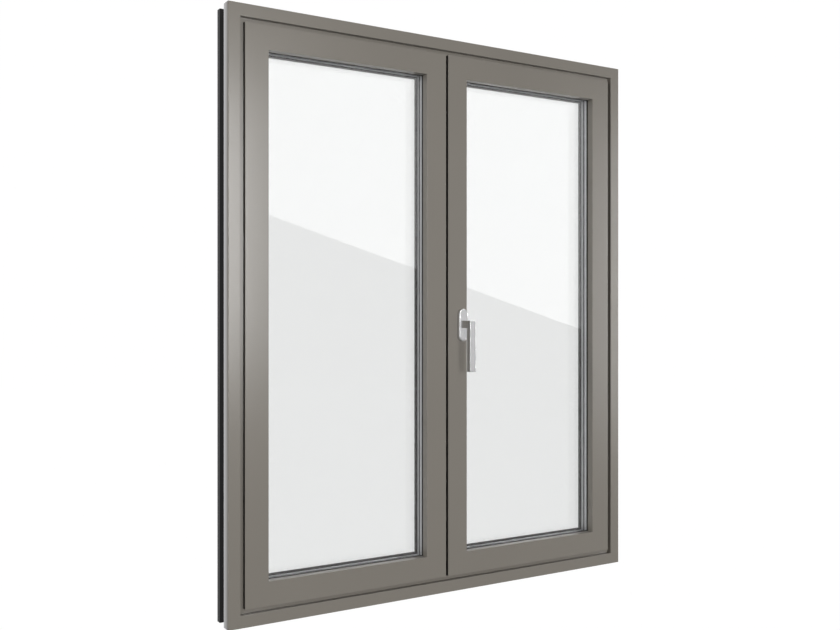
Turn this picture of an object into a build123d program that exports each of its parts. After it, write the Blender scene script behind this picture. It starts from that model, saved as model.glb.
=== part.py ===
"""Aluminium casement window with two sashes, seen from the room along +Y.

Thermally broken mitred profiles, triple glazing and a turning handle.
X runs right as seen from the room, +Y outwards, +Z up. The origin lies on the
underside of the sill's inner shell, half way along it and half way through it.
"""
import os

from build123d import *

# Frame, overall
FRAME_WIDTH = 1230.0
FRAME_HEIGHT = 1480.0

# Frame profile: distances in from the frame's edge, depths from the room face
FRAME_FACE = 30.5
FRAME_STEP = 50.0
FRAME_STEP_DEPTH = 15.7
FRAME_INNER_DEPTH = 29.5
FRAME_BREAK_LENGTH = 32.5
FRAME_OUTER_DEPTH = 17.0
FRAME_OUTER_SET_IN = 2.2
SIDE_GROOVE = 14.5

# Sash profile: distances in from the sash's edge, depths from the room face
REVEAL_WIDTH = 11.5
MEETING_GAP = 7.2
SASH_FACE = 60.0
SASH_LIP = 12.0
SASH_LIP_THICKNESS = 2.5
SASH_REVEAL_DEPTH = 21.0
SASH_INNER_DEPTH = 30.0
SASH_BREAK_LENGTH = 27.0
SASH_OUTER_SET_IN = 16.0
SASH_OUTER_DEPTH = 19.0
OUTER_SHELL_GAP = 4.0
REBATE_HEIGHT = 16.0

# Hardware groove in the sash's edge
GROOVE_MIDDLE = 17.0
GROOVE_OPENING = 10.0
GROOVE_WIDTH = 14.0
GROOVE_DEPTH = 6.0

# Glazing bead clipped into the sash's outer shell
BEAD_WALL = 1.4
BEAD_NOSE = 2.5
BEAD_BACK = 6.0
BEAD_FOOT = 2.5

# Extruded walls, and the polyamide bars rolled into the shells by dovetail heads
SHELL_WALL = 2.0
EDGE_RADIUS = 0.8
BAR_THICKNESS = 2.4
BAR_SET_IN = 2.4
BAR_HEAD_WIDTH = 4.4
BAR_HEAD_DEPTH = 2.0
BAR_SEAT_WIDTH = 7.2

# Triple glazing on packers
PANE_THICKNESS = 4.0
PANE_CAVITY = 12.0
PANE_COUNT = 3
GLASS_COVER = 13.0
SPACER_SET_BACK = 2.0
SPACER_HEIGHT = 10.0
SPACER_WALL = 0.8
PACKER_LENGTH = 100.0
PACKER_INSET = 90.0

# Gaskets
GASKET_WALL = 1.4
BULB_RADIUS = 2.8
FOOT_SET_BACK = 1.2
INNER_GASKET_THICKNESS = 4.0
INNER_GASKET_WIDTH = 11.0
INNER_GASKET_PROUD = 1.2
INNER_GASKET_LIP = 1.6
OUTER_GASKET_THICKNESS = 6.0
OUTER_GASKET_WIDTH = 12.0
OUTER_GASKET_PROUD = 4.0
STOP_GASKET_SET_BACK = 0.5
CENTRE_GASKET_THICKNESS = 6.0
CENTRE_GASKET_DEPTH = 41.0

# Drain slots through the sill's outer shell
DRAIN_LENGTH = 28.0
DRAIN_HEIGHT = 5.0
DRAIN_COUNT = 3
DRAIN_FROM_CORNER = 115.0
DRAIN_BELOW_EDGE = 14.0

# Handle on the right sash's meeting stile
HANDLE_FROM_SASH_EDGE = 42.9
HANDLE_LEVEL = 714.5
ROSE_WIDTH = 29.0
ROSE_HEIGHT = 88.0
ROSE_THICKNESS = 11.0
ROSE_EDGE = 3.5
GRIP_WIDTH = 19.0
GRIP_THICKNESS = 15.0
GRIP_LENGTH = 136.0
GRIP_ABOVE_AXIS = 12.0
GRIP_STAND_OFF = 39.0
GRIP_EDGE = 1.5
NECK_HEIGHT = 20.0
NECK_CLEARANCE = 0.3
JOURNAL_DIAMETER = 18.0
JOURNAL_LENGTH = 7.0
JOURNAL_CLEARANCE = 0.05
SPINDLE_SIZE = 7.0
SPINDLE_SOCKET = 20.0
SPINDLE_REACH = 15.0
SPINDLE_HOLE = 13.0

# Places that follow from the sizes above
ROOM_FACE = -FRAME_INNER_DEPTH / 2
FRAME_OUTER_START = FRAME_INNER_DEPTH + FRAME_BREAK_LENGTH
FRAME_DEPTH = FRAME_OUTER_START + FRAME_OUTER_DEPTH
SASH_EDGE = FRAME_FACE + REVEAL_WIDTH
SASH_OUTER_START = SASH_INNER_DEPTH + SASH_BREAK_LENGTH
SASH_OUTER_FACE = SASH_OUTER_START + SASH_OUTER_DEPTH
SASH_OUTER_EDGE = SASH_EDGE + SASH_OUTER_SET_IN
REBATE_FLOOR = SASH_FACE - REBATE_HEIGHT
STEP_OVERLAP = FRAME_STEP - SASH_EDGE
GLASS_START = SASH_REVEAL_DEPTH + INNER_GASKET_THICKNESS
PANE_PITCH = PANE_THICKNESS + PANE_CAVITY
GLASS_END = GLASS_START + PANE_PITCH * (PANE_COUNT - 1) + PANE_THICKNESS
BEAD_START = GLASS_END + OUTER_GASKET_THICKNESS
BEAD_FOOT_DEPTHS = (SASH_OUTER_FACE - 2 * BEAD_FOOT, SASH_OUTER_FACE - BEAD_FOOT)
SASH_BAR = SASH_OUTER_SET_IN + BAR_SET_IN
CENTRE_GASKET_END = SASH_EDGE + SASH_BAR
CENTRE_GASKET_DEPTHS = (CENTRE_GASKET_DEPTH, CENTRE_GASKET_DEPTH + CENTRE_GASKET_THICKNESS)

# Near faces of the two polyamide bars in each profile, and the depths they span
FRAME_BARS = (SIDE_GROOVE, FRAME_STEP - BAR_SET_IN - BAR_THICKNESS)
FRAME_BREAK = (FRAME_INNER_DEPTH, FRAME_OUTER_START)
SASH_BARS = (SASH_BAR, REBATE_FLOOR - BAR_SET_IN - BAR_THICKNESS)
SASH_BREAK = (SASH_INNER_DEPTH, SASH_OUTER_START)

# Outlines as (left, bottom, right, top)
FRAME_BOX = (-FRAME_WIDTH / 2, 0.0, FRAME_WIDTH / 2, FRAME_HEIGHT)
SASH_BOXES = {
    "left_sash": (
        SASH_EDGE - FRAME_WIDTH / 2, SASH_EDGE, -MEETING_GAP / 2, FRAME_HEIGHT - SASH_EDGE
    ),
    "right_sash": (
        MEETING_GAP / 2, SASH_EDGE, FRAME_WIDTH / 2 - SASH_EDGE, FRAME_HEIGHT - SASH_EDGE
    ),
}

# Each side's direction into the opening, and its name on the frame and on a sash
INWARD = {"left": (1, 0, 0), "right": (-1, 0, 0), "bottom": (0, 0, 1), "top": (0, 0, -1)}
FRAME_NAMES = {"left": "left_jamb", "right": "right_jamb", "bottom": "sill", "top": "head"}
SASH_NAMES = {
    "left": "left_stile", "right": "right_stile", "bottom": "bottom_rail", "top": "top_rail"
}


def save(builder, name):
    """Label a finished piece and write its own file."""
    builder.part.label = name
    export_step(builder.part, f"parts/{name}.step")


def block(across, depth, mode=Mode.ADD):
    """A rectangle of a profile between two distances across it and two depths."""
    with Locations((across[0], depth[0])):
        Rectangle(across[1] - across[0], depth[1] - depth[0], align=(Align.MIN, Align.MIN), mode=mode)


def hollow(wall=SHELL_WALL):
    """Turn the profile drawn so far into a closed tube."""
    offset(amount=-wall, kind=Kind.INTERSECTION, mode=Mode.SUBTRACT)


def bar_head(middle, shell_face, into, mode=Mode.ADD):
    """Dovetail that holds a polyamide bar, widening from a shell's face into it."""
    neck, head = BAR_THICKNESS / 2, BAR_HEAD_WIDTH / 2
    tip = shell_face + into * BAR_HEAD_DEPTH
    Polygon(
        (middle - neck, shell_face),
        (middle + neck, shell_face),
        (middle + head, tip),
        (middle - head, tip),
        align=None,
        mode=mode,
    )


def bar_seats(starts, shell_face, into):
    """Claws of a shell round the heads of its two bars."""
    seat_end = shell_face + into * (BAR_HEAD_DEPTH + SHELL_WALL)
    for start in starts:
        middle = start + BAR_THICKNESS / 2
        edges = (middle - BAR_SEAT_WIDTH / 2, middle + BAR_SEAT_WIDTH / 2)
        block(edges, sorted((shell_face, seat_end)))
        bar_head(middle, shell_face, into, Mode.SUBTRACT)


def bars(starts, depth):
    """The two polyamide bars between a pair of shells."""
    for start in starts:
        middle = start + BAR_THICKNESS / 2
        block((start, start + BAR_THICKNESS), depth)
        bar_head(middle, depth[0], -1)
        bar_head(middle, depth[1], 1)


def side_plane(side, box):
    """Profile plane half way along a side: local X runs inwards, local Y is the depth."""
    left, bottom, right, top = box
    inward = Vector(*INWARD[side])
    upright = side in ("left", "right")
    half_across = (right - left if upright else top - bottom) / 2
    half_length = (top - bottom if upright else right - left) / 2
    middle = Vector((left + right) / 2, ROOM_FACE, (bottom + top) / 2)
    plane = Plane(
        origin=middle - inward * half_across,
        x_dir=inward,
        z_dir=inward.cross(Vector(0, 1, 0)),
    )
    return plane, half_length


def mitred_side(side, box, draw_profile):
    """One length of a profile along a side, cut at 45 degrees at both ends."""
    plane, half_length = side_plane(side, box)
    with BuildPart() as bar:
        with BuildSketch(plane):
            draw_profile()
        extrude(amount=half_length, both=True)
        for end in (1, -1):
            corner = plane.from_local_coords((0, 0, end * half_length))
            mitre = Plane(origin=corner, z_dir=plane.x_dir + plane.z_dir * end)
            split(bisect_by=mitre, keep=Keep.BOTTOM)
    return bar


def mitred_rings(boxes, draw_profile):
    """The four mitred lengths of a profile round each box, joined at their corners."""
    sides = [mitred_side(side, box, draw_profile) for box in boxes for side in INWARD]
    with BuildPart() as rings:
        for bar in sides:
            add(bar.part)
    return rings


def frame_inner_profile():
    """Room-side shell of the frame: a main chamber and the step that the sash closes on."""
    Polygon(
        (0, 0),
        (FRAME_FACE, 0),
        (FRAME_FACE, FRAME_STEP_DEPTH),
        (FRAME_STEP, FRAME_STEP_DEPTH),
        (FRAME_STEP, FRAME_INNER_DEPTH),
        (0, FRAME_INNER_DEPTH),
        align=None,
    )
    hollow()
    block((FRAME_FACE - SHELL_WALL, FRAME_FACE), (FRAME_STEP_DEPTH, FRAME_INNER_DEPTH))
    bar_seats(FRAME_BARS, FRAME_INNER_DEPTH, -1)
    fillet(vertices().group_by(Axis.Y)[0], EDGE_RADIUS)


def frame_break_profile():
    """The two polyamide bars that hold the frame's shells apart."""
    bars(FRAME_BARS, FRAME_BREAK)


def frame_outer_profile():
    """Weather-side shell of the frame."""
    reach = SASH_OUTER_EDGE - OUTER_SHELL_GAP
    block((FRAME_OUTER_SET_IN, reach), (FRAME_OUTER_START, FRAME_DEPTH))
    hollow()
    bar_seats(FRAME_BARS, FRAME_OUTER_START, 1)
    fillet(vertices().group_by(Axis.Y)[-1], EDGE_RADIUS)


def sash_inner_profile():
    """Room-side shell of a sash: lip over the frame, chamber, hardware groove and rebate."""
    Polygon(
        (0, 0),
        (SASH_FACE, 0),
        (SASH_FACE, SASH_REVEAL_DEPTH),
        (REBATE_FLOOR, SASH_REVEAL_DEPTH),
        (REBATE_FLOOR, SASH_INNER_DEPTH),
        (SASH_LIP, SASH_INNER_DEPTH),
        (SASH_LIP, SASH_LIP_THICKNESS),
        (0, SASH_LIP_THICKNESS),
        align=None,
    )
    fillet(vertices().group_by(Axis.Y)[0], EDGE_RADIUS)
    Polygon(
        (SASH_LIP + SHELL_WALL, SHELL_WALL),
        (SASH_FACE - SHELL_WALL, SHELL_WALL),
        (SASH_FACE - SHELL_WALL, SASH_REVEAL_DEPTH - SHELL_WALL),
        (REBATE_FLOOR - SHELL_WALL, SASH_REVEAL_DEPTH - SHELL_WALL),
        (REBATE_FLOOR - SHELL_WALL, SASH_INNER_DEPTH - SHELL_WALL),
        (SASH_LIP + SHELL_WALL, SASH_INNER_DEPTH - SHELL_WALL),
        align=None,
        mode=Mode.SUBTRACT,
    )
    groove_start = SASH_LIP + SHELL_WALL
    groove_end = groove_start + GROOVE_DEPTH
    inside = (GROOVE_MIDDLE - GROOVE_WIDTH / 2, GROOVE_MIDDLE + GROOVE_WIDTH / 2)
    mouth = (GROOVE_MIDDLE - GROOVE_OPENING / 2, GROOVE_MIDDLE + GROOVE_OPENING / 2)
    block((SASH_LIP, groove_end + SHELL_WALL), (inside[0] - SHELL_WALL, inside[1] + SHELL_WALL))
    block((groove_start, groove_end), inside, Mode.SUBTRACT)
    block((SASH_LIP, groove_start), mouth, Mode.SUBTRACT)
    bar_seats(SASH_BARS, SASH_INNER_DEPTH, -1)


def sash_break_profile():
    """The two polyamide bars that hold a sash's shells apart."""
    bars(SASH_BARS, SASH_BREAK)


def sash_outer_profile():
    """Weather-side shell of a sash, slotted for the glazing bead."""
    block((SASH_OUTER_SET_IN, REBATE_FLOOR), (SASH_OUTER_START, SASH_OUTER_FACE))
    hollow()
    bar_seats(SASH_BARS, SASH_OUTER_START, 1)
    block((REBATE_FLOOR - SHELL_WALL, REBATE_FLOOR), BEAD_FOOT_DEPTHS, Mode.SUBTRACT)
    fillet(vertices().group_by(Axis.Y)[-1], EDGE_RADIUS)


def bead_profile():
    """Hollow bead with a sloped face, and the foot that clips into the sash."""
    Polygon(
        (REBATE_FLOOR, BEAD_START),
        (SASH_FACE, BEAD_START),
        (SASH_FACE, BEAD_START + BEAD_NOSE),
        (REBATE_FLOOR + BEAD_BACK, SASH_OUTER_FACE),
        (REBATE_FLOOR, SASH_OUTER_FACE),
        align=None,
    )
    hollow(BEAD_WALL)
    block((REBATE_FLOOR - SHELL_WALL, REBATE_FLOOR + BEAD_WALL), BEAD_FOOT_DEPTHS)


def stop_gasket_profile():
    """Hollow bulb on a foot behind the sash's lip, closing on the frame's step."""
    bulb_start = SASH_LIP_THICKNESS + GASKET_WALL
    width = STEP_OVERLAP - STOP_GASKET_SET_BACK
    middle = (STOP_GASKET_SET_BACK + width / 2, (bulb_start + FRAME_STEP_DEPTH) / 2)
    with Locations(middle):
        RectangleRounded(width, FRAME_STEP_DEPTH - bulb_start, BULB_RADIUS)
    hollow(GASKET_WALL)
    foot = (STOP_GASKET_SET_BACK + FOOT_SET_BACK, STEP_OVERLAP - FOOT_SET_BACK)
    block(foot, (SASH_LIP_THICKNESS, bulb_start + GASKET_WALL))


def inner_gasket_profile():
    """Gasket between the sash and the room-side pane, with a lip that shows at the glass."""
    lip = SASH_FACE + INNER_GASKET_PROUD
    Polygon(
        (SASH_FACE - INNER_GASKET_WIDTH, SASH_REVEAL_DEPTH),
        (SASH_FACE, SASH_REVEAL_DEPTH),
        (lip, GLASS_START - INNER_GASKET_LIP),
        (lip, GLASS_START),
        (SASH_FACE - INNER_GASKET_WIDTH, GLASS_START),
        align=None,
    )


def outer_gasket_profile():
    """Wedge gasket between the bead and the weather-side pane."""
    tip = SASH_FACE + OUTER_GASKET_PROUD
    Polygon(
        (tip - OUTER_GASKET_WIDTH, GLASS_END),
        (tip, GLASS_END),
        (SASH_FACE, BEAD_START),
        (tip - OUTER_GASKET_WIDTH, BEAD_START),
        align=None,
    )


def centre_gasket_profile():
    """Hollow gasket from the frame's bar to the sash's bar."""
    block((FRAME_STEP - BAR_SET_IN, CENTRE_GASKET_END), CENTRE_GASKET_DEPTHS)
    hollow(GASKET_WALL)


def spacer_profile():
    """Hollow edge spacers that hold the panes apart."""
    inner_face = SASH_FACE - SPACER_SET_BACK
    for cavity in range(PANE_COUNT - 1):
        start = GLASS_START + PANE_THICKNESS + PANE_PITCH * cavity
        block((inner_face - SPACER_HEIGHT, inner_face), (start, start + PANE_CAVITY))
    hollow(SPACER_WALL)


os.makedirs("parts", exist_ok=True)

# Frame: inner shell, polyamide bars and outer shell on each side, drained at the sill
for side, member in FRAME_NAMES.items():
    save(mitred_side(side, FRAME_BOX, frame_inner_profile), f"frame_{member}_inner")
    save(mitred_side(side, FRAME_BOX, frame_break_profile), f"frame_{member}_break")
    outer = mitred_side(side, FRAME_BOX, frame_outer_profile)
    if side == "bottom":
        drain_level = SASH_OUTER_EDGE - OUTER_SHELL_GAP - DRAIN_BELOW_EDGE
        drain_pitch = (FRAME_WIDTH - 2 * DRAIN_FROM_CORNER) / (DRAIN_COUNT - 1)
        drain_face = Plane(
            origin=(0, ROOM_FACE + FRAME_DEPTH, drain_level), x_dir=(1, 0, 0), z_dir=(0, -1, 0)
        )
        with BuildPart() as drained_sill:
            add(outer.part)
            with BuildSketch(drain_face):
                with GridLocations(drain_pitch, 1, DRAIN_COUNT, 1):
                    SlotOverall(DRAIN_LENGTH, DRAIN_HEIGHT)
            extrude(amount=SHELL_WALL * 2, mode=Mode.SUBTRACT)
        outer = drained_sill
    save(outer, f"frame_{member}_outer")

# Sashes: inner and outer shells on each side, with the spindle's hole in the meeting stile
handle_x = SASH_BOXES["right_sash"][0] + HANDLE_FROM_SASH_EDGE
handle_plane = Plane(
    origin=(handle_x, ROOM_FACE, HANDLE_LEVEL), x_dir=(1, 0, 0), z_dir=(0, -1, 0)
)
for sash, box in SASH_BOXES.items():
    for side, member in SASH_NAMES.items():
        inner = mitred_side(side, box, sash_inner_profile)
        if (sash, side) == ("right_sash", "left"):
            with BuildPart() as handle_stile:
                add(inner.part)
                with BuildSketch(handle_plane):
                    Circle(SPINDLE_HOLE / 2)
                extrude(amount=-SHELL_WALL * 2, mode=Mode.SUBTRACT)
            inner = handle_stile
        save(inner, f"{sash}_{member}_inner")
        save(mitred_side(side, box, sash_outer_profile), f"{sash}_{member}_outer")
    save(mitred_rings([box], sash_break_profile), f"{sash}_break")

# Beads, gaskets and spacers of both sashes
save(mitred_rings(SASH_BOXES.values(), bead_profile), "glazing_beads")
save(mitred_rings(SASH_BOXES.values(), stop_gasket_profile), "stop_gaskets")
save(mitred_rings(SASH_BOXES.values(), inner_gasket_profile), "inner_glazing_gaskets")
save(mitred_rings(SASH_BOXES.values(), outer_gasket_profile), "outer_glazing_gaskets")
save(mitred_rings(SASH_BOXES.values(), spacer_profile), "glazing_spacers")

# Triple glazing, each unit standing on two packers
glass_inset = SASH_FACE - GLASS_COVER
packer_top = glass_inset - REBATE_FLOOR
packers = []
for sash, (left, bottom, right, top) in SASH_BOXES.items():
    with BuildPart() as glass:
        for pane in range(PANE_COUNT):
            pane_plane = Plane(
                origin=(
                    (left + right) / 2,
                    ROOM_FACE + GLASS_START + PANE_PITCH * pane,
                    (bottom + top) / 2,
                ),
                x_dir=(1, 0, 0),
                z_dir=(0, -1, 0),
            )
            with BuildSketch(pane_plane):
                Rectangle(right - left - 2 * glass_inset, top - bottom - 2 * glass_inset)
            extrude(amount=-PANE_THICKNESS)
    save(glass, f"{sash}_glass")
    packers += [
        (left + glass_inset + PACKER_INSET, bottom + REBATE_FLOOR),
        (right - glass_inset - PACKER_INSET, bottom + REBATE_FLOOR),
    ]
with BuildPart() as glazing_packers:
    for x, floor in packers:
        packer_plane = Plane(origin=(x, ROOM_FACE + (GLASS_START + GLASS_END) / 2, floor))
        with BuildSketch(packer_plane):
            Rectangle(PACKER_LENGTH, GLASS_END - GLASS_START)
        extrude(amount=packer_top)
save(glazing_packers, "glazing_packers")

# Meeting profile on the left sash, closing the gap behind the right sash's lip
passive_body = -MEETING_GAP / 2 - SASH_LIP
active_edge = MEETING_GAP / 2
step_end = active_edge + STEP_OVERLAP
meeting_bars = (passive_body + BAR_SET_IN, step_end - BAR_SET_IN - BAR_THICKNESS)
mid_height = FRAME_HEIGHT / 2
meeting_plane = Plane(origin=(0, ROOM_FACE, mid_height))
with BuildPart() as meeting_inner:
    with BuildSketch(meeting_plane):
        block((passive_body, step_end), (FRAME_STEP_DEPTH, FRAME_INNER_DEPTH))
        hollow()
        bar_seats(meeting_bars, FRAME_INNER_DEPTH, -1)
    extrude(amount=mid_height - SASH_EDGE - SASH_LIP, both=True)
save(meeting_inner, "meeting_profile_inner")

bar_half_height = mid_height - CENTRE_GASKET_END - OUTER_SHELL_GAP
with BuildPart() as meeting_break:
    with BuildSketch(meeting_plane):
        bars(meeting_bars, FRAME_BREAK)
    extrude(amount=bar_half_height, both=True)
save(meeting_break, "meeting_profile_break")

with BuildPart() as meeting_outer:
    with BuildSketch(meeting_plane):
        outer_edges = (
            -MEETING_GAP / 2 - SASH_OUTER_SET_IN,
            active_edge + SASH_OUTER_SET_IN - OUTER_SHELL_GAP,
        )
        block(outer_edges, (FRAME_OUTER_START, FRAME_DEPTH))
        hollow()
        bar_seats(meeting_bars, FRAME_OUTER_START, 1)
        fillet(vertices().group_by(Axis.Y)[-1], EDGE_RADIUS)
    extrude(amount=mid_height - SASH_OUTER_EDGE, both=True)
save(meeting_outer, "meeting_profile_outer")

# Centre gasket: round the frame, and up the meeting profile
frame_ring = mitred_rings([FRAME_BOX], centre_gasket_profile)
with BuildPart() as centre_gasket:
    add(frame_ring.part)
    with BuildSketch(meeting_plane):
        block((step_end - BAR_SET_IN, active_edge + SASH_BAR), CENTRE_GASKET_DEPTHS)
        hollow(GASKET_WALL)
    extrude(amount=bar_half_height, both=True)
save(centre_gasket, "centre_gasket")

# Handle: a rose on the stile, a lever with a journal in it, and the square spindle
with BuildPart() as rose:
    with BuildSketch(handle_plane):
        SlotOverall(ROSE_HEIGHT, ROSE_WIDTH, rotation=90)
    extrude(amount=ROSE_THICKNESS)
    fillet(rose.faces().sort_by(Axis.Y)[0].edges(), ROSE_EDGE)
    with BuildSketch(handle_plane.offset(ROSE_THICKNESS)):
        Circle(JOURNAL_DIAMETER / 2 + JOURNAL_CLEARANCE)
    extrude(amount=-JOURNAL_LENGTH - NECK_CLEARANCE, mode=Mode.SUBTRACT)
    with BuildSketch(handle_plane):
        Circle(SPINDLE_HOLE / 2)
    extrude(amount=ROSE_THICKNESS, mode=Mode.SUBTRACT)
save(rose, "handle_rose")

journal_start = ROSE_THICKNESS - JOURNAL_LENGTH
neck_start = ROSE_THICKNESS + NECK_CLEARANCE
with BuildPart() as lever:
    with BuildSketch(handle_plane.offset(journal_start)):
        Circle(JOURNAL_DIAMETER / 2)
    extrude(amount=JOURNAL_LENGTH + NECK_CLEARANCE)
    with BuildSketch(handle_plane.offset(neck_start)):
        with Locations((0, GRIP_ABOVE_AXIS - NECK_HEIGHT / 2)):
            Rectangle(GRIP_WIDTH, NECK_HEIGHT)
    extrude(amount=GRIP_STAND_OFF - neck_start)
    with BuildSketch(handle_plane.offset(GRIP_STAND_OFF)):
        with Locations((0, GRIP_ABOVE_AXIS - GRIP_LENGTH / 2)):
            Rectangle(GRIP_WIDTH, GRIP_LENGTH)
    extrude(amount=GRIP_THICKNESS)
    fillet(lever.faces().sort_by(Axis.Y)[0].edges(), GRIP_EDGE)
    with BuildSketch(handle_plane.offset(journal_start)):
        Rectangle(SPINDLE_SIZE, SPINDLE_SIZE)
    extrude(amount=SPINDLE_SOCKET, mode=Mode.SUBTRACT)
save(lever, "handle_lever")

with BuildPart() as spindle:
    with BuildSketch(handle_plane.offset(-SPINDLE_REACH)):
        Rectangle(SPINDLE_SIZE, SPINDLE_SIZE)
    extrude(amount=SPINDLE_REACH + journal_start + SPINDLE_SOCKET)
save(spindle, "handle_spindle")
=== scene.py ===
import math

import bmesh
import bpy
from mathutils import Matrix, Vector


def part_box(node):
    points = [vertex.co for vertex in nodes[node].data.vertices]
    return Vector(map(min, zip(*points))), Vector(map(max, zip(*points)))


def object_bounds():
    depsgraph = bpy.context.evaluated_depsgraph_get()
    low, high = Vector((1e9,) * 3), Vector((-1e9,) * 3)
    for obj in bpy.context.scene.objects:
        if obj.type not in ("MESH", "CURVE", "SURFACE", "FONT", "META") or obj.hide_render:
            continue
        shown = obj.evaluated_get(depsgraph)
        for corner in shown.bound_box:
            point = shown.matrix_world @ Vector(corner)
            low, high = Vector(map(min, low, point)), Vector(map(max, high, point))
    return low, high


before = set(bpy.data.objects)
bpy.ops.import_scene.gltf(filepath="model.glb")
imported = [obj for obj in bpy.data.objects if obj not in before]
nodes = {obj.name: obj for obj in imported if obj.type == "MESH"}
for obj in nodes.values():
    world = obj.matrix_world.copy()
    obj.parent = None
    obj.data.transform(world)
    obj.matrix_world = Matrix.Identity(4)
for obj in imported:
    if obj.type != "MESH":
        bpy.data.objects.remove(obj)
CAD_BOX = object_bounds()

# Studio: a pale floor that curves up into a backdrop on every side, so that the
# window stands against plain white from wherever it is seen. The paper glows by
# itself and hardly takes the light of the lamps.
FLOOR_RADIUS = 9.0
FLOOR_CURVE = 3.0
BACKDROP_HEIGHT = 7.0
FLOOR_GAP = 0.0005
CURVE_STEPS = 16
ROUND_STEPS = 64
MERGE_DISTANCE = 0.00001
WHITE = (1, 1, 1, 1)
PAPER_TONE = (0.01, 0.01, 0.01, 1)
PAPER_GLOW = 1.0


def node_material(name):
    """A new material with nodes, its node tree and its shader."""
    material = bpy.data.materials.new(name)
    material.use_nodes = True
    shader = material.node_tree.nodes["Principled BSDF"]
    return material, material.node_tree, shader


def studio_backdrop():
    """Floor disc, quarter-round curve and wall, spun round the vertical axis."""
    mesh = bmesh.new()
    outline = [mesh.verts.new((across, 0.0, -FLOOR_GAP)) for across in (0.0, FLOOR_RADIUS)]
    for step in range(1, CURVE_STEPS + 1):
        turn = math.pi / 2 * step / CURVE_STEPS
        across = FLOOR_RADIUS + FLOOR_CURVE * math.sin(turn)
        up = FLOOR_CURVE * (1 - math.cos(turn))
        outline.append(mesh.verts.new((across, 0.0, up)))
    outline.append(mesh.verts.new((FLOOR_RADIUS + FLOOR_CURVE, 0.0, BACKDROP_HEIGHT)))
    edges = [mesh.edges.new(pair) for pair in zip(outline, outline[1:])]
    bmesh.ops.spin(
        mesh, geom=outline + edges, cent=(0, 0, 0), axis=(0, 0, 1),
        angle=2 * math.pi, steps=ROUND_STEPS, use_merge=True,
    )
    bmesh.ops.remove_doubles(mesh, verts=mesh.verts, dist=MERGE_DISTANCE)
    bmesh.ops.recalc_face_normals(mesh, faces=mesh.faces)
    for face in mesh.faces:
        face.smooth = True
    data = bpy.data.meshes.new("studio_backdrop")
    mesh.to_mesh(data)
    mesh.free()
    return bpy.data.objects.new("studio_backdrop", data)


def paper_material():
    """Paper that looks plain white."""
    material, _, shader = node_material("backdrop_paper")
    shader.inputs["Base Color"].default_value = PAPER_TONE
    shader.inputs["Roughness"].default_value = 1.0
    shader.inputs["Specular IOR Level"].default_value = 0.0
    shader.inputs["Emission Color"].default_value = WHITE
    shader.inputs["Emission Strength"].default_value = PAPER_GLOW
    return material


backdrop = studio_backdrop()
bpy.context.scene.collection.objects.link(backdrop)
backdrop.data.materials.append(paper_material())
backdrop.visible_diffuse = False
backdrop.visible_glossy = False

# Camera: level, at the window's mid height, left of the window and turned to face
# it, with the focal length that the photograph's perspective gives.
PHOTO_WIDTH = 840
PHOTO_FOCAL_PIXELS = 987.0
SENSOR = 36.0
CAMERA_PLACE = Vector((-1.453, -2.2198, 0.7416))
CAMERA_TURN = math.radians(31.8)

camera_data = bpy.data.cameras.new("camera")
camera_data.sensor_width = SENSOR
camera_data.lens = PHOTO_FOCAL_PIXELS / PHOTO_WIDTH * SENSOR
camera = bpy.data.objects.new("camera", camera_data)
camera.location = CAMERA_PLACE
camera.rotation_euler = (math.pi / 2, 0, -CAMERA_TURN)
bpy.context.scene.collection.objects.link(camera)
bpy.context.scene.camera = camera
bpy.context.scene.view_settings.view_transform = "Standard"

# Light: a dim even surround, and soft lamps turned to the window. Those in front, at
# the left and behind give only light. The others only glow on satin faces: two tall
# strips for the outer stiles, and one each for edges that face left, up and back.
SURROUND_STRENGTH = 0.30
WINDOW_MIDDLE = Vector((0, 0, CAD_BOX[1][2] / 2))


def soft_lamp(name, place, size, power, light=True, glow=True, shadow=True):
    """A rectangular lamp, for its light, for its glow on satin faces, or for both."""
    data = bpy.data.lights.new(name, "AREA")
    data.shape = "RECTANGLE"
    data.size, data.size_y = size
    data.energy = power
    data.use_shadow = shadow
    lamp = bpy.data.objects.new(name, data)
    lamp.location = place
    lamp.rotation_euler = (WINDOW_MIDDLE - Vector(place)).to_track_quat("-Z", "Y").to_euler()
    lamp.visible_camera = False
    lamp.visible_transmission = False
    lamp.visible_diffuse = light
    lamp.visible_glossy = glow
    bpy.context.scene.collection.objects.link(lamp)


soft_lamp("key_lamp", place=(0.1, -8.0, 0.9), size=(1.4, 1.4), power=126.0, glow=False)
soft_lamp(
    "front_fill", place=(-0.4, -8.0, 0.9), size=(1.4, 1.4), power=237.0, glow=False, shadow=False,
)
soft_lamp("left_fill", place=(-3.5, -0.43, 1.5), size=(0.8, 0.8), power=43.0, glow=False)
soft_lamp("edge_lamp", place=(-5.4, -3.2, 1.0), size=(1.5, 1.5), power=28.0, light=False)
soft_lamp("top_lamp", place=(2.6, -1.0, 4.6), size=(1.5, 1.5), power=40.0, light=False)
soft_lamp(
    "left_strip", place=(0.78, -4.43, 1.32), size=(0.3, 1.9), power=88.0, light=False, shadow=False,
)
soft_lamp(
    "right_strip", place=(5.75, -4.43, 1.05), size=(0.3, 3.0), power=130.0, light=False, shadow=False,
)
soft_lamp("back_lamp", place=(0.8, 8.0, 1.5), size=(2.4, 2.4), power=180.0, glow=False)
soft_lamp("back_glow", place=(5.6, 3.4, 4.2), size=(2.0, 2.0), power=40.0, light=False)

world = bpy.data.worlds.new("surround")
bpy.context.scene.world = world
world.use_nodes = True
surround = world.node_tree.nodes["Background"]
surround.inputs["Color"].default_value = WHITE
surround.inputs["Strength"].default_value = SURROUND_STRENGTH

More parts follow.
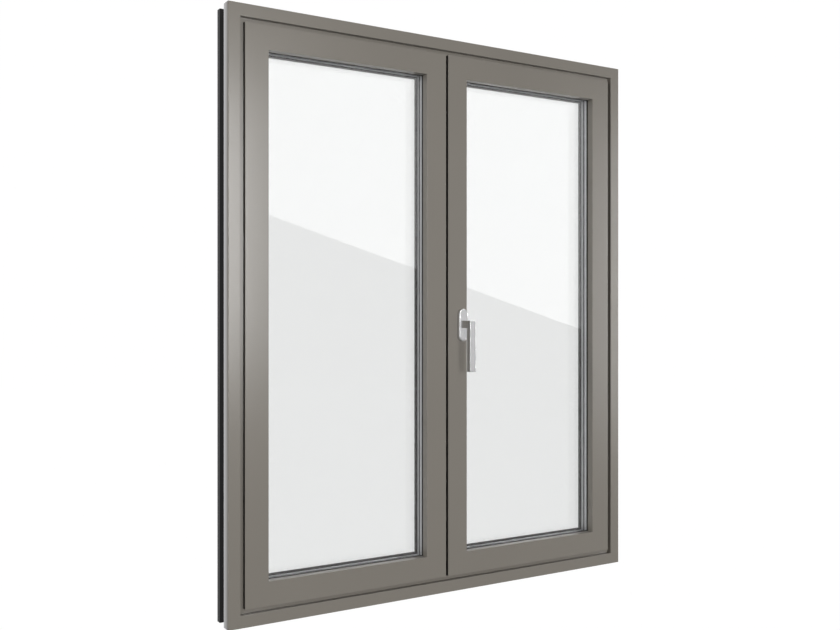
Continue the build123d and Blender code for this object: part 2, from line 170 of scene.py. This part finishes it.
# Reflected card: a large white card in front, right of the camera, that shows nowhere
# but mirrored in the panes. Its sloping lower edge is the line across both of them.
CARD_STRENGTH = 1.65
CARD_PLANE = -6.0
CARD_LEFT = 0.9
CARD_RIGHT = 6.6
CARD_TOP = 5.2
CARD_LOW_LEFT = 1.980
CARD_LOW_RIGHT = 0.333
CARD_TONE = (0, 0, 0, 1)


def add_node(tree, kind, **settings):
    """A node of a kind, with its properties and unlinked inputs set by name."""
    node = tree.nodes.new(kind)
    for key, value in settings.items():
        if key in node.inputs:
            node.inputs[key].default_value = value
        else:
            setattr(node, key, value)
    return node


def feed(tree, socket, value):
    """Link an input to another node's output, or set it to a plain value."""
    if isinstance(value, bpy.types.NodeSocket):
        tree.links.new(value, socket)
    else:
        socket.default_value = value


def calculate(tree, operation, *values, clamp=False):
    """A Math node's result, from outputs of other nodes and plain numbers."""
    node = add_node(tree, "ShaderNodeMath", operation=operation, use_clamp=clamp)
    for socket, value in zip(node.inputs, values):
        feed(tree, socket, value)
    return node.outputs[0]


def show_either(tree, factor, first, second):
    """Show one shader where the factor is 0, and another where it is 1."""
    either = tree.nodes.new("ShaderNodeMixShader")
    tree.links.new(factor, either.inputs["Fac"])
    tree.links.new(first.outputs[0], either.inputs[1])
    tree.links.new(second.outputs[0], either.inputs[2])
    tree.links.new(either.outputs[0], tree.nodes["Material Output"].inputs["Surface"])


def card_mesh():
    """The card's one face."""
    corners = (
        (CARD_LEFT, CARD_LOW_LEFT), (CARD_RIGHT, CARD_LOW_RIGHT),
        (CARD_RIGHT, CARD_TOP), (CARD_LEFT, CARD_TOP),
    )
    mesh = bmesh.new()
    mesh.faces.new([mesh.verts.new((across, CARD_PLANE, up)) for across, up in corners])
    data = bpy.data.meshes.new("reflected_card")
    mesh.to_mesh(data)
    mesh.free()
    return data


def card_material():
    """A glow that only rays mirrored by smooth glass meet."""
    material, tree, shader = node_material("card_white")
    shader.inputs["Base Color"].default_value = CARD_TONE
    shader.inputs["Specular IOR Level"].default_value = 0.0
    shader.inputs["Emission Color"].default_value = WHITE
    shader.inputs["Emission Strength"].default_value = CARD_STRENGTH
    ray = tree.nodes.new("ShaderNodeLightPath").outputs
    mirrored = calculate(tree, "MULTIPLY", ray["Is Singular Ray"], ray["Glossy Depth"], clamp=True)
    show_either(tree, mirrored, tree.nodes.new("ShaderNodeBsdfTransparent"), shader)
    return material


card = bpy.data.objects.new("reflected_card", card_mesh())
bpy.context.scene.collection.objects.link(card)
card.data.materials.append(card_material())
card.visible_camera = False
card.visible_diffuse = False
card.visible_shadow = False

# Frame, room side: hollow aluminium extrusions, mitred and crimped at the corners, with
# a satin grey-brown powder coat. The coat wraps round the frame's outer edges and fades
# out there, into metal as it comes from the mill.
ROOM_PAINT = (0.215, 0.198, 0.172, 1)
ROOM_DRIFT = 0.025
ROOM_PEEL = 0.00004
ROOM_ROUGHNESS = 0.22
PAINT_GLOSS = 0.4
PEEL_FINENESS = 900.0
PEEL_ROUGHNESS = 0.06
CLOUD_FINENESS = 3.0
SPECK_FINENESS = 2600.0
SPECK_SHARE = 0.6
NOISE_REACH = (0.3, 0.7)
MILL_METAL = (0.84, 0.835, 0.85)
MILL_SHADES = (0.85, 1.12)
MILL_SHINE = 0.3
UPRIGHT_LINES = (900.0, 900.0, 4.0)
LEVEL_LINES = (4.0, 900.0, 900.0)
HALF_WIDTH = CAD_BOX[1][0]
HALF_HEIGHT = CAD_BOX[1][2] / 2
BARE_EDGE = 0.0004
PAINT_WRAP = 0.002
PAINT_FADE = 0.025
PAINT_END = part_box("frame_left_jamb_inner")[0].y + PAINT_WRAP


def node_group(name, takes, gives):
    """A new node group with named inputs and outputs, its entry and its exit."""
    group = bpy.data.node_groups.new(name, "ShaderNodeTree")
    for in_out, sockets in (("INPUT", takes), ("OUTPUT", gives)):
        for socket, kind in sockets.items():
            group.interface.new_socket(socket, in_out=in_out, socket_type=f"NodeSocket{kind}")
    return group, group.nodes.new("NodeGroupInput"), group.nodes.new("NodeGroupOutput")


def object_place(tree):
    """The place of each point of the surface, in metres."""
    return tree.nodes.new("ShaderNodeTexCoord").outputs["Object"]


def split_place(tree, place):
    """The three measures of a place, X, Y and Z."""
    split = tree.nodes.new("ShaderNodeSeparateXYZ")
    tree.links.new(place, split.inputs[0])
    return split.outputs


def noise(tree, place, **settings):
    """A soft random pattern, from 0 to 1."""
    texture = add_node(tree, "ShaderNodeTexNoise", **settings)
    tree.links.new(place, texture.inputs["Vector"])
    return texture.outputs["Fac"]


def map_range(tree, value, reach, result):
    """Bring a value from one range to another, and hold it there."""
    node = add_node(tree, "ShaderNodeMapRange", clamp=True)
    tree.links.new(value, node.inputs["Value"])
    for name, limit in zip(("From Min", "From Max", "To Min", "To Max"), (*reach, *result)):
        feed(tree, node.inputs[name], limit)
    return node.outputs["Result"]


def shaded(tree, colour, shade):
    """A colour made lighter or darker by a shade that changes over the surface."""
    node = add_node(tree, "ShaderNodeVectorMath", operation="SCALE")
    feed(tree, node.inputs[0], colour)
    tree.links.new(shade, node.inputs["Scale"])
    return node.outputs[0]


def mixed(tree, factor, first, second):
    """One colour where the factor is 0, and another where it is 1."""
    node = add_node(tree, "ShaderNodeMix", data_type="RGBA")
    tree.links.new(factor, node.inputs["Factor"])
    feed(tree, node.inputs[6], first)
    feed(tree, node.inputs[7], second)
    return node.outputs[2]


def powder_coat_group():
    """Fine orange peel of a baked powder coat, with a faint drift in its colour."""
    group, entry, leave = node_group(
        "powder_coat",
        takes={"Colour": "Color", "Drift": "Float", "Base Roughness": "Float"},
        gives={"Colour": "Color", "Roughness": "Float", "Height": "Float"},
    )
    place = object_place(group)
    peel = noise(group, place, Scale=PEEL_FINENESS, Detail=3.0, Roughness=0.6)
    cloud = noise(group, place, Scale=CLOUD_FINENESS, Detail=2.0)
    speck = noise(group, place, Scale=SPECK_FINENESS, Detail=1.0)
    clouds = map_range(group, cloud, NOISE_REACH, (-1.0, 1.0))
    specks = map_range(group, speck, NOISE_REACH, (-SPECK_SHARE, SPECK_SHARE))
    both = calculate(group, "ADD", clouds, specks)
    drift = calculate(group, "MULTIPLY_ADD", both, entry.outputs["Drift"], 1.0)
    rough = calculate(group, "MULTIPLY_ADD", peel, PEEL_ROUGHNESS, entry.outputs["Base Roughness"])
    group.links.new(shaded(group, entry.outputs["Colour"], drift), leave.inputs["Colour"])
    group.links.new(rough, leave.inputs["Roughness"])
    group.links.new(peel, leave.inputs["Height"])
    return group


def die_lines_group():
    """Fine lines that the extrusion die leaves along a profile, across one axis."""
    group, entry, leave = node_group("die_lines", takes={"Stretch": "Vector"}, gives={"Lines": "Float"})
    stretched = add_node(group, "ShaderNodeVectorMath", operation="MULTIPLY")
    group.links.new(object_place(group), stretched.inputs[0])
    group.links.new(entry.outputs["Stretch"], stretched.inputs[1])
    lines = noise(group, stretched.outputs[0], Scale=1.0, Detail=4.0, Roughness=0.7)
    group.links.new(lines, leave.inputs["Lines"])
    return group


POWDER_COAT = powder_coat_group()
DIE_LINES = die_lines_group()


def place_group(tree, group):
    """A node group placed in a material."""
    node = tree.nodes.new("ShaderNodeGroup")
    node.node_tree = group
    return node


def die_lines(tree, stretch):
    """Lines along a piece: the stretch is high across them and low along them."""
    lines = place_group(tree, DIE_LINES)
    lines.inputs["Stretch"].default_value = stretch
    return lines.outputs["Lines"]


def bump(tree, shader, height, depth):
    """Roughen a shader's surface by a pattern, to a depth in metres."""
    node = add_node(tree, "ShaderNodeBump", Strength=1.0, Distance=depth)
    tree.links.new(height, node.inputs["Height"])
    tree.links.new(node.outputs["Normal"], shader.inputs["Normal"])


def painted(name, colour, drift, depth, roughness):
    """Powder-coated aluminium, and the coat's own node."""
    material, tree, shader = node_material(name)
    coat = place_group(tree, POWDER_COAT)
    coat.inputs["Colour"].default_value = colour
    coat.inputs["Drift"].default_value = drift
    coat.inputs["Base Roughness"].default_value = roughness
    tree.links.new(coat.outputs["Colour"], shader.inputs["Base Color"])
    tree.links.new(coat.outputs["Roughness"], shader.inputs["Roughness"])
    bump(tree, shader, coat.outputs["Height"], depth)
    shader.inputs["Specular IOR Level"].default_value = PAINT_GLOSS
    return material, tree, shader, coat


def outer_edge(tree, measure, middle, half):
    """1 on the frame's two outer edges, half its size from its middle, and 0 elsewhere."""
    off_middle = calculate(tree, "ABSOLUTE", calculate(tree, "SUBTRACT", measure, middle))
    return calculate(tree, "GREATER_THAN", off_middle, half - BARE_EDGE)


def frame_paint(name, stretch):
    """Room-side paint that fades out on the frame's outer edges, into bare metal."""
    material, tree, shader, coat = painted(name, ROOM_PAINT, ROOM_DRIFT, ROOM_PEEL, ROOM_ROUGHNESS)
    place = split_place(tree, object_place(tree))
    at_side = outer_edge(tree, place["X"], 0.0, HALF_WIDTH)
    at_end = outer_edge(tree, place["Z"], HALF_HEIGHT, HALF_HEIGHT)
    edge = calculate(tree, "MAXIMUM", at_side, at_end)
    behind = map_range(tree, place["Y"], (PAINT_END, PAINT_END + PAINT_FADE), (0.0, 1.0))
    bare = calculate(tree, "MULTIPLY", edge, behind)
    shade = map_range(tree, die_lines(tree, stretch), (0.0, 1.0), MILL_SHADES)
    colour = mixed(tree, bare, coat.outputs["Colour"], shaded(tree, MILL_METAL, shade))
    tree.links.new(colour, shader.inputs["Base Color"])
    tree.links.new(calculate(tree, "MULTIPLY", bare, MILL_SHINE), shader.inputs["Metallic"])
    return material


def finish_node(name, material):
    """Give a CAD node one material."""
    slots = nodes[name].data.materials
    slots.clear()
    slots.append(material)


frame_paint_upright = frame_paint("frame_paint_upright", UPRIGHT_LINES)
frame_paint_level = frame_paint("frame_paint_level", LEVEL_LINES)
for member in ("left_jamb", "right_jamb"):
    finish_node(f"frame_{member}_inner", frame_paint_upright)
for member in ("head", "sill"):
    finish_node(f"frame_{member}_inner", frame_paint_level)

# Sashes and meeting profile, room side: hollow extrusions with the same coat all round.
# The meeting profile is fixed to the left sash and closes the gap between the two.
SASH_MEMBERS = [
    f"{sash}_{member}" for sash in ("left_sash", "right_sash")
    for member in ("left_stile", "right_stile", "top_rail", "bottom_rail")
]

room_paint = painted("room_paint", ROOM_PAINT, ROOM_DRIFT, ROOM_PEEL, ROOM_ROUGHNESS)[0]
for member in SASH_MEMBERS:
    finish_node(f"{member}_inner", room_paint)
finish_node("meeting_profile_inner", room_paint)

# Frame, weather side: hollow extrusions with a rougher anthracite coat. In the recess in front of the
# outer shell, at the thermal break, painted shade makes the coat darker and rougher.
OUTER_PAINT = (0.062, 0.062, 0.064, 1)
OUTER_DRIFT = 0.05
OUTER_PEEL = 0.00006
OUTER_GLOSS = 0.25
OUTER_ROUGHNESS = 0.32
RECESS_PAINTED_SHADE = 0.22
RECESS_ROUGH = 0.75
RECESS_DEPTH = 0.0004
RECESS_FADE = 0.0012
RECESS_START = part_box("frame_left_jamb_outer")[0].y + RECESS_DEPTH


def weather_paint(name):
    """Weather-side paint, and the coat's own node."""
    material, tree, shader, coat = painted(name, OUTER_PAINT, OUTER_DRIFT, OUTER_PEEL, OUTER_ROUGHNESS)
    shader.inputs["Specular IOR Level"].default_value = OUTER_GLOSS
    return material, tree, shader, coat


def frame_outer_paint():
    """Weather-side paint, with painted shade darkening it in the recess at the break."""
    material, tree, shader, coat = weather_paint("frame_outer_paint")
    depth = split_place(tree, object_place(tree))["Y"]
    # Painted shade: the coat's colour is darkened, and made rougher, on the outer shell's face towards
    # the room, in the recess.
    shade = map_range(tree, depth, (RECESS_START, RECESS_START + RECESS_FADE), (RECESS_PAINTED_SHADE, 1.0))
    rough = map_range(tree, shade, (RECESS_PAINTED_SHADE, 1.0), (RECESS_ROUGH, coat.outputs["Roughness"]))
    tree.links.new(shaded(tree, coat.outputs["Colour"], shade), shader.inputs["Base Color"])
    tree.links.new(rough, shader.inputs["Roughness"])
    return material


frame_outside = frame_outer_paint()
for member in ("left_jamb", "right_jamb", "head", "sill"):
    finish_node(f"frame_{member}_outer", frame_outside)

# Sashes, meeting profile and glazing beads, weather side: the same anthracite coat. The
# beads are mitred and clip into the sashes to hold the panes.
outer_paint = weather_paint("outer_paint")[0]
for member in SASH_MEMBERS:
    finish_node(f"{member}_outer", outer_paint)
finish_node("meeting_profile_outer", outer_paint)
finish_node("glazing_beads", outer_paint)

# Thermal break: black glass-filled polyamide bars rolled into both shells, with
# the drawn streaks of the glass fibre.
POLYAMIDE = (0.034, 0.034, 0.034)
POLYAMIDE_ROUGHNESS = 0.55
STREAK_SHADES = (0.7, 1.4)
STREAK_DEPTH = 0.0001


def drawn_finish(name, colour, stretch, shades, roughness, depth):
    """A finish with fine lines along the piece, lighter and darker than its colour."""
    material, tree, shader = node_material(name)
    lines = die_lines(tree, stretch)
    shade = map_range(tree, lines, (0.0, 1.0), shades)
    tree.links.new(shaded(tree, colour, shade), shader.inputs["Base Color"])
    shader.inputs["Roughness"].default_value = roughness
    bump(tree, shader, lines, depth)
    return material, shader


def streaked_plastic(name, colour, stretch, roughness):
    """Extruded plastic with faint streaks along its length."""
    return drawn_finish(name, colour, stretch, STREAK_SHADES, roughness, STREAK_DEPTH)[0]


polyamide_upright = streaked_plastic("polyamide_upright", POLYAMIDE, UPRIGHT_LINES, POLYAMIDE_ROUGHNESS)
polyamide_level = streaked_plastic("polyamide_level", POLYAMIDE, LEVEL_LINES, POLYAMIDE_ROUGHNESS)
for name in nodes:
    if name.endswith("_break"):
        level = "head" in name or "sill" in name
        finish_node(name, polyamide_level if level else polyamide_upright)

# Gaskets: extruded black rubber with a dull bloom, joined at the corners and pressed
# into grooves of the frame, the sashes and the beads.
RUBBER = (0.012, 0.011, 0.010, 1)
BLOOM = (0.0264, 0.0242, 0.0220, 1)
BLOOM_FINENESS = 60.0
BLOOM_DEPTH = 0.0001
RUBBER_ROUGHNESS = 0.7
RUBBER_GLOSS = 0.15


def rubber_material():
    """Black rubber with lighter patches of bloom."""
    material, tree, shader = node_material("gasket_rubber")
    bloom = noise(tree, object_place(tree), Scale=BLOOM_FINENESS, Detail=4.0)
    tree.links.new(mixed(tree, bloom, RUBBER, BLOOM), shader.inputs["Base Color"])
    shader.inputs["Roughness"].default_value = RUBBER_ROUGHNESS
    shader.inputs["Specular IOR Level"].default_value = RUBBER_GLOSS
    bump(tree, shader, bloom, BLOOM_DEPTH)
    return material


gasket_rubber = rubber_material()
for name in ("stop_gaskets", "inner_glazing_gaskets", "outer_glazing_gaskets", "centre_gasket"):
    finish_node(name, gasket_rubber)

# Panes: three of clear float glass a sash, held between the gasket of the sash and the
# gasket of the bead. The glass keeps the faint waves of the rollers that it ran on.
GLASS_TINT = (0.934, 0.937, 0.936, 1)
GLASS_INDEX = 1.5
ROLLER_WAVES = 2.5
ROLLER_WAVE_DEPTH = 0.0001


def glass_material():
    """Clear wavy glass that lets the light of the lamps through."""
    material, tree, shader = node_material("clear_glass")
    shader.inputs["Base Color"].default_value = GLASS_TINT
    shader.inputs["Roughness"].default_value = 0.0
    shader.inputs["IOR"].default_value = GLASS_INDEX
    shader.inputs["Transmission Weight"].default_value = 1.0
    waves = noise(tree, object_place(tree), Scale=ROLLER_WAVES, Detail=0.0)
    bump(tree, shader, waves, ROLLER_WAVE_DEPTH)
    ray = tree.nodes.new("ShaderNodeLightPath").outputs
    show_either(tree, ray["Is Shadow Ray"], shader, tree.nodes.new("ShaderNodeBsdfTransparent"))
    return material


clear_glass = glass_material()
for sash in ("left_sash", "right_sash"):
    finish_node(f"{sash}_glass", clear_glass)

# Spacers: hollow rolled metal between the edges of the panes, with a line of fine
# perforations, bonded to each pane with black sealant.
SPACER_METAL = (0.57, 0.575, 0.59)
SPACER_SHINE = 0.5
SPACER_ROUGHNESS = 0.45
PERFORATION_PITCH = 0.004
PERFORATION_RIM = (0.10, 0.18)
PERFORATION_SHADE = 0.6
PERFORATION_DEPTH = 0.0002
SEALANT = (0.006, 0.006, 0.006, 1)
SEALANT_WIDTH = 0.0014
SEALANT_SHIFT = 0.0008
PANE_THICKNESS = 0.004
PANE_CAVITY = 0.012
BARE_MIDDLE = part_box("glazing_spacers")[0].y + PANE_CAVITY / 2 + SEALANT_SHIFT


def spacer_material():
    """Perforated metal, bare in the middle of each cavity and sealed along both sides."""
    material, tree, shader = node_material("spacer_metal")
    place = object_place(tree)
    holes = add_node(tree, "ShaderNodeTexVoronoi", Scale=1.0 / PERFORATION_PITCH, Randomness=0.0)
    tree.links.new(place, holes.inputs["Vector"])
    rims = map_range(tree, holes.outputs["Distance"], PERFORATION_RIM, (PERFORATION_SHADE, 1.0))
    depth = calculate(tree, "SUBTRACT", split_place(tree, place)["Y"], BARE_MIDDLE)
    off_middle = calculate(tree, "PINGPONG", depth, (PANE_CAVITY + PANE_THICKNESS) / 2)
    sealed = calculate(tree, "GREATER_THAN", off_middle, PANE_CAVITY / 2 - SEALANT_WIDTH)
    colour = mixed(tree, sealed, shaded(tree, SPACER_METAL, rims), SEALANT)
    shine = map_range(tree, sealed, (0.0, 1.0), (SPACER_SHINE, 0.0))
    tree.links.new(colour, shader.inputs["Base Color"])
    tree.links.new(shine, shader.inputs["Metallic"])
    shader.inputs["Roughness"].default_value = SPACER_ROUGHNESS
    bump(tree, shader, rims, PERFORATION_DEPTH)
    return material


finish_node("glazing_spacers", spacer_material())

# Packers: blocks of blue plastic that the panes stand on in the sash, two under each
# set of three. The sashes hide them.
PACKER_BLUE = (0.05, 0.09, 0.3)
PACKER_ROUGHNESS = 0.5

packer_plastic = streaked_plastic("packer_plastic", PACKER_BLUE, LEVEL_LINES, PACKER_ROUGHNESS)
finish_node("glazing_packers", packer_plastic)

# Handle: rose and lever of satin anodised aluminium, brushed along the grip, on a
# plain square steel spindle. The rose covers the screws that hold it to the stile.
HANDLE_METAL = (0.65, 0.65, 0.655)
HANDLE_BRUSHING = (2500.0, 2500.0, 60.0)
HANDLE_ROUGHNESS = 0.26
SPINDLE_STEEL = (0.4, 0.4, 0.4)
SPINDLE_BRUSHING = (1500.0, 60.0, 1500.0)
SPINDLE_ROUGHNESS = 0.4
BRUSHED_SHADES = (0.92, 1.06)
BRUSHED_SHINE = 0.85
BRUSHED_DEPTH = 0.00002


def brushed_metal(name, colour, stretch, roughness):
    """Metal with fine brushed lines."""
    material, shader = drawn_finish(name, colour, stretch, BRUSHED_SHADES, roughness, BRUSHED_DEPTH)
    shader.inputs["Metallic"].default_value = BRUSHED_SHINE
    return material


satin_anodised = brushed_metal("satin_anodised", HANDLE_METAL, HANDLE_BRUSHING, HANDLE_ROUGHNESS)
spindle_steel = brushed_metal("spindle_steel", SPINDLE_STEEL, SPINDLE_BRUSHING, SPINDLE_ROUGHNESS)
finish_node("handle_rose", satin_anodised)
finish_node("handle_lever", satin_anodised)
finish_node("handle_spindle", spindle_steel)
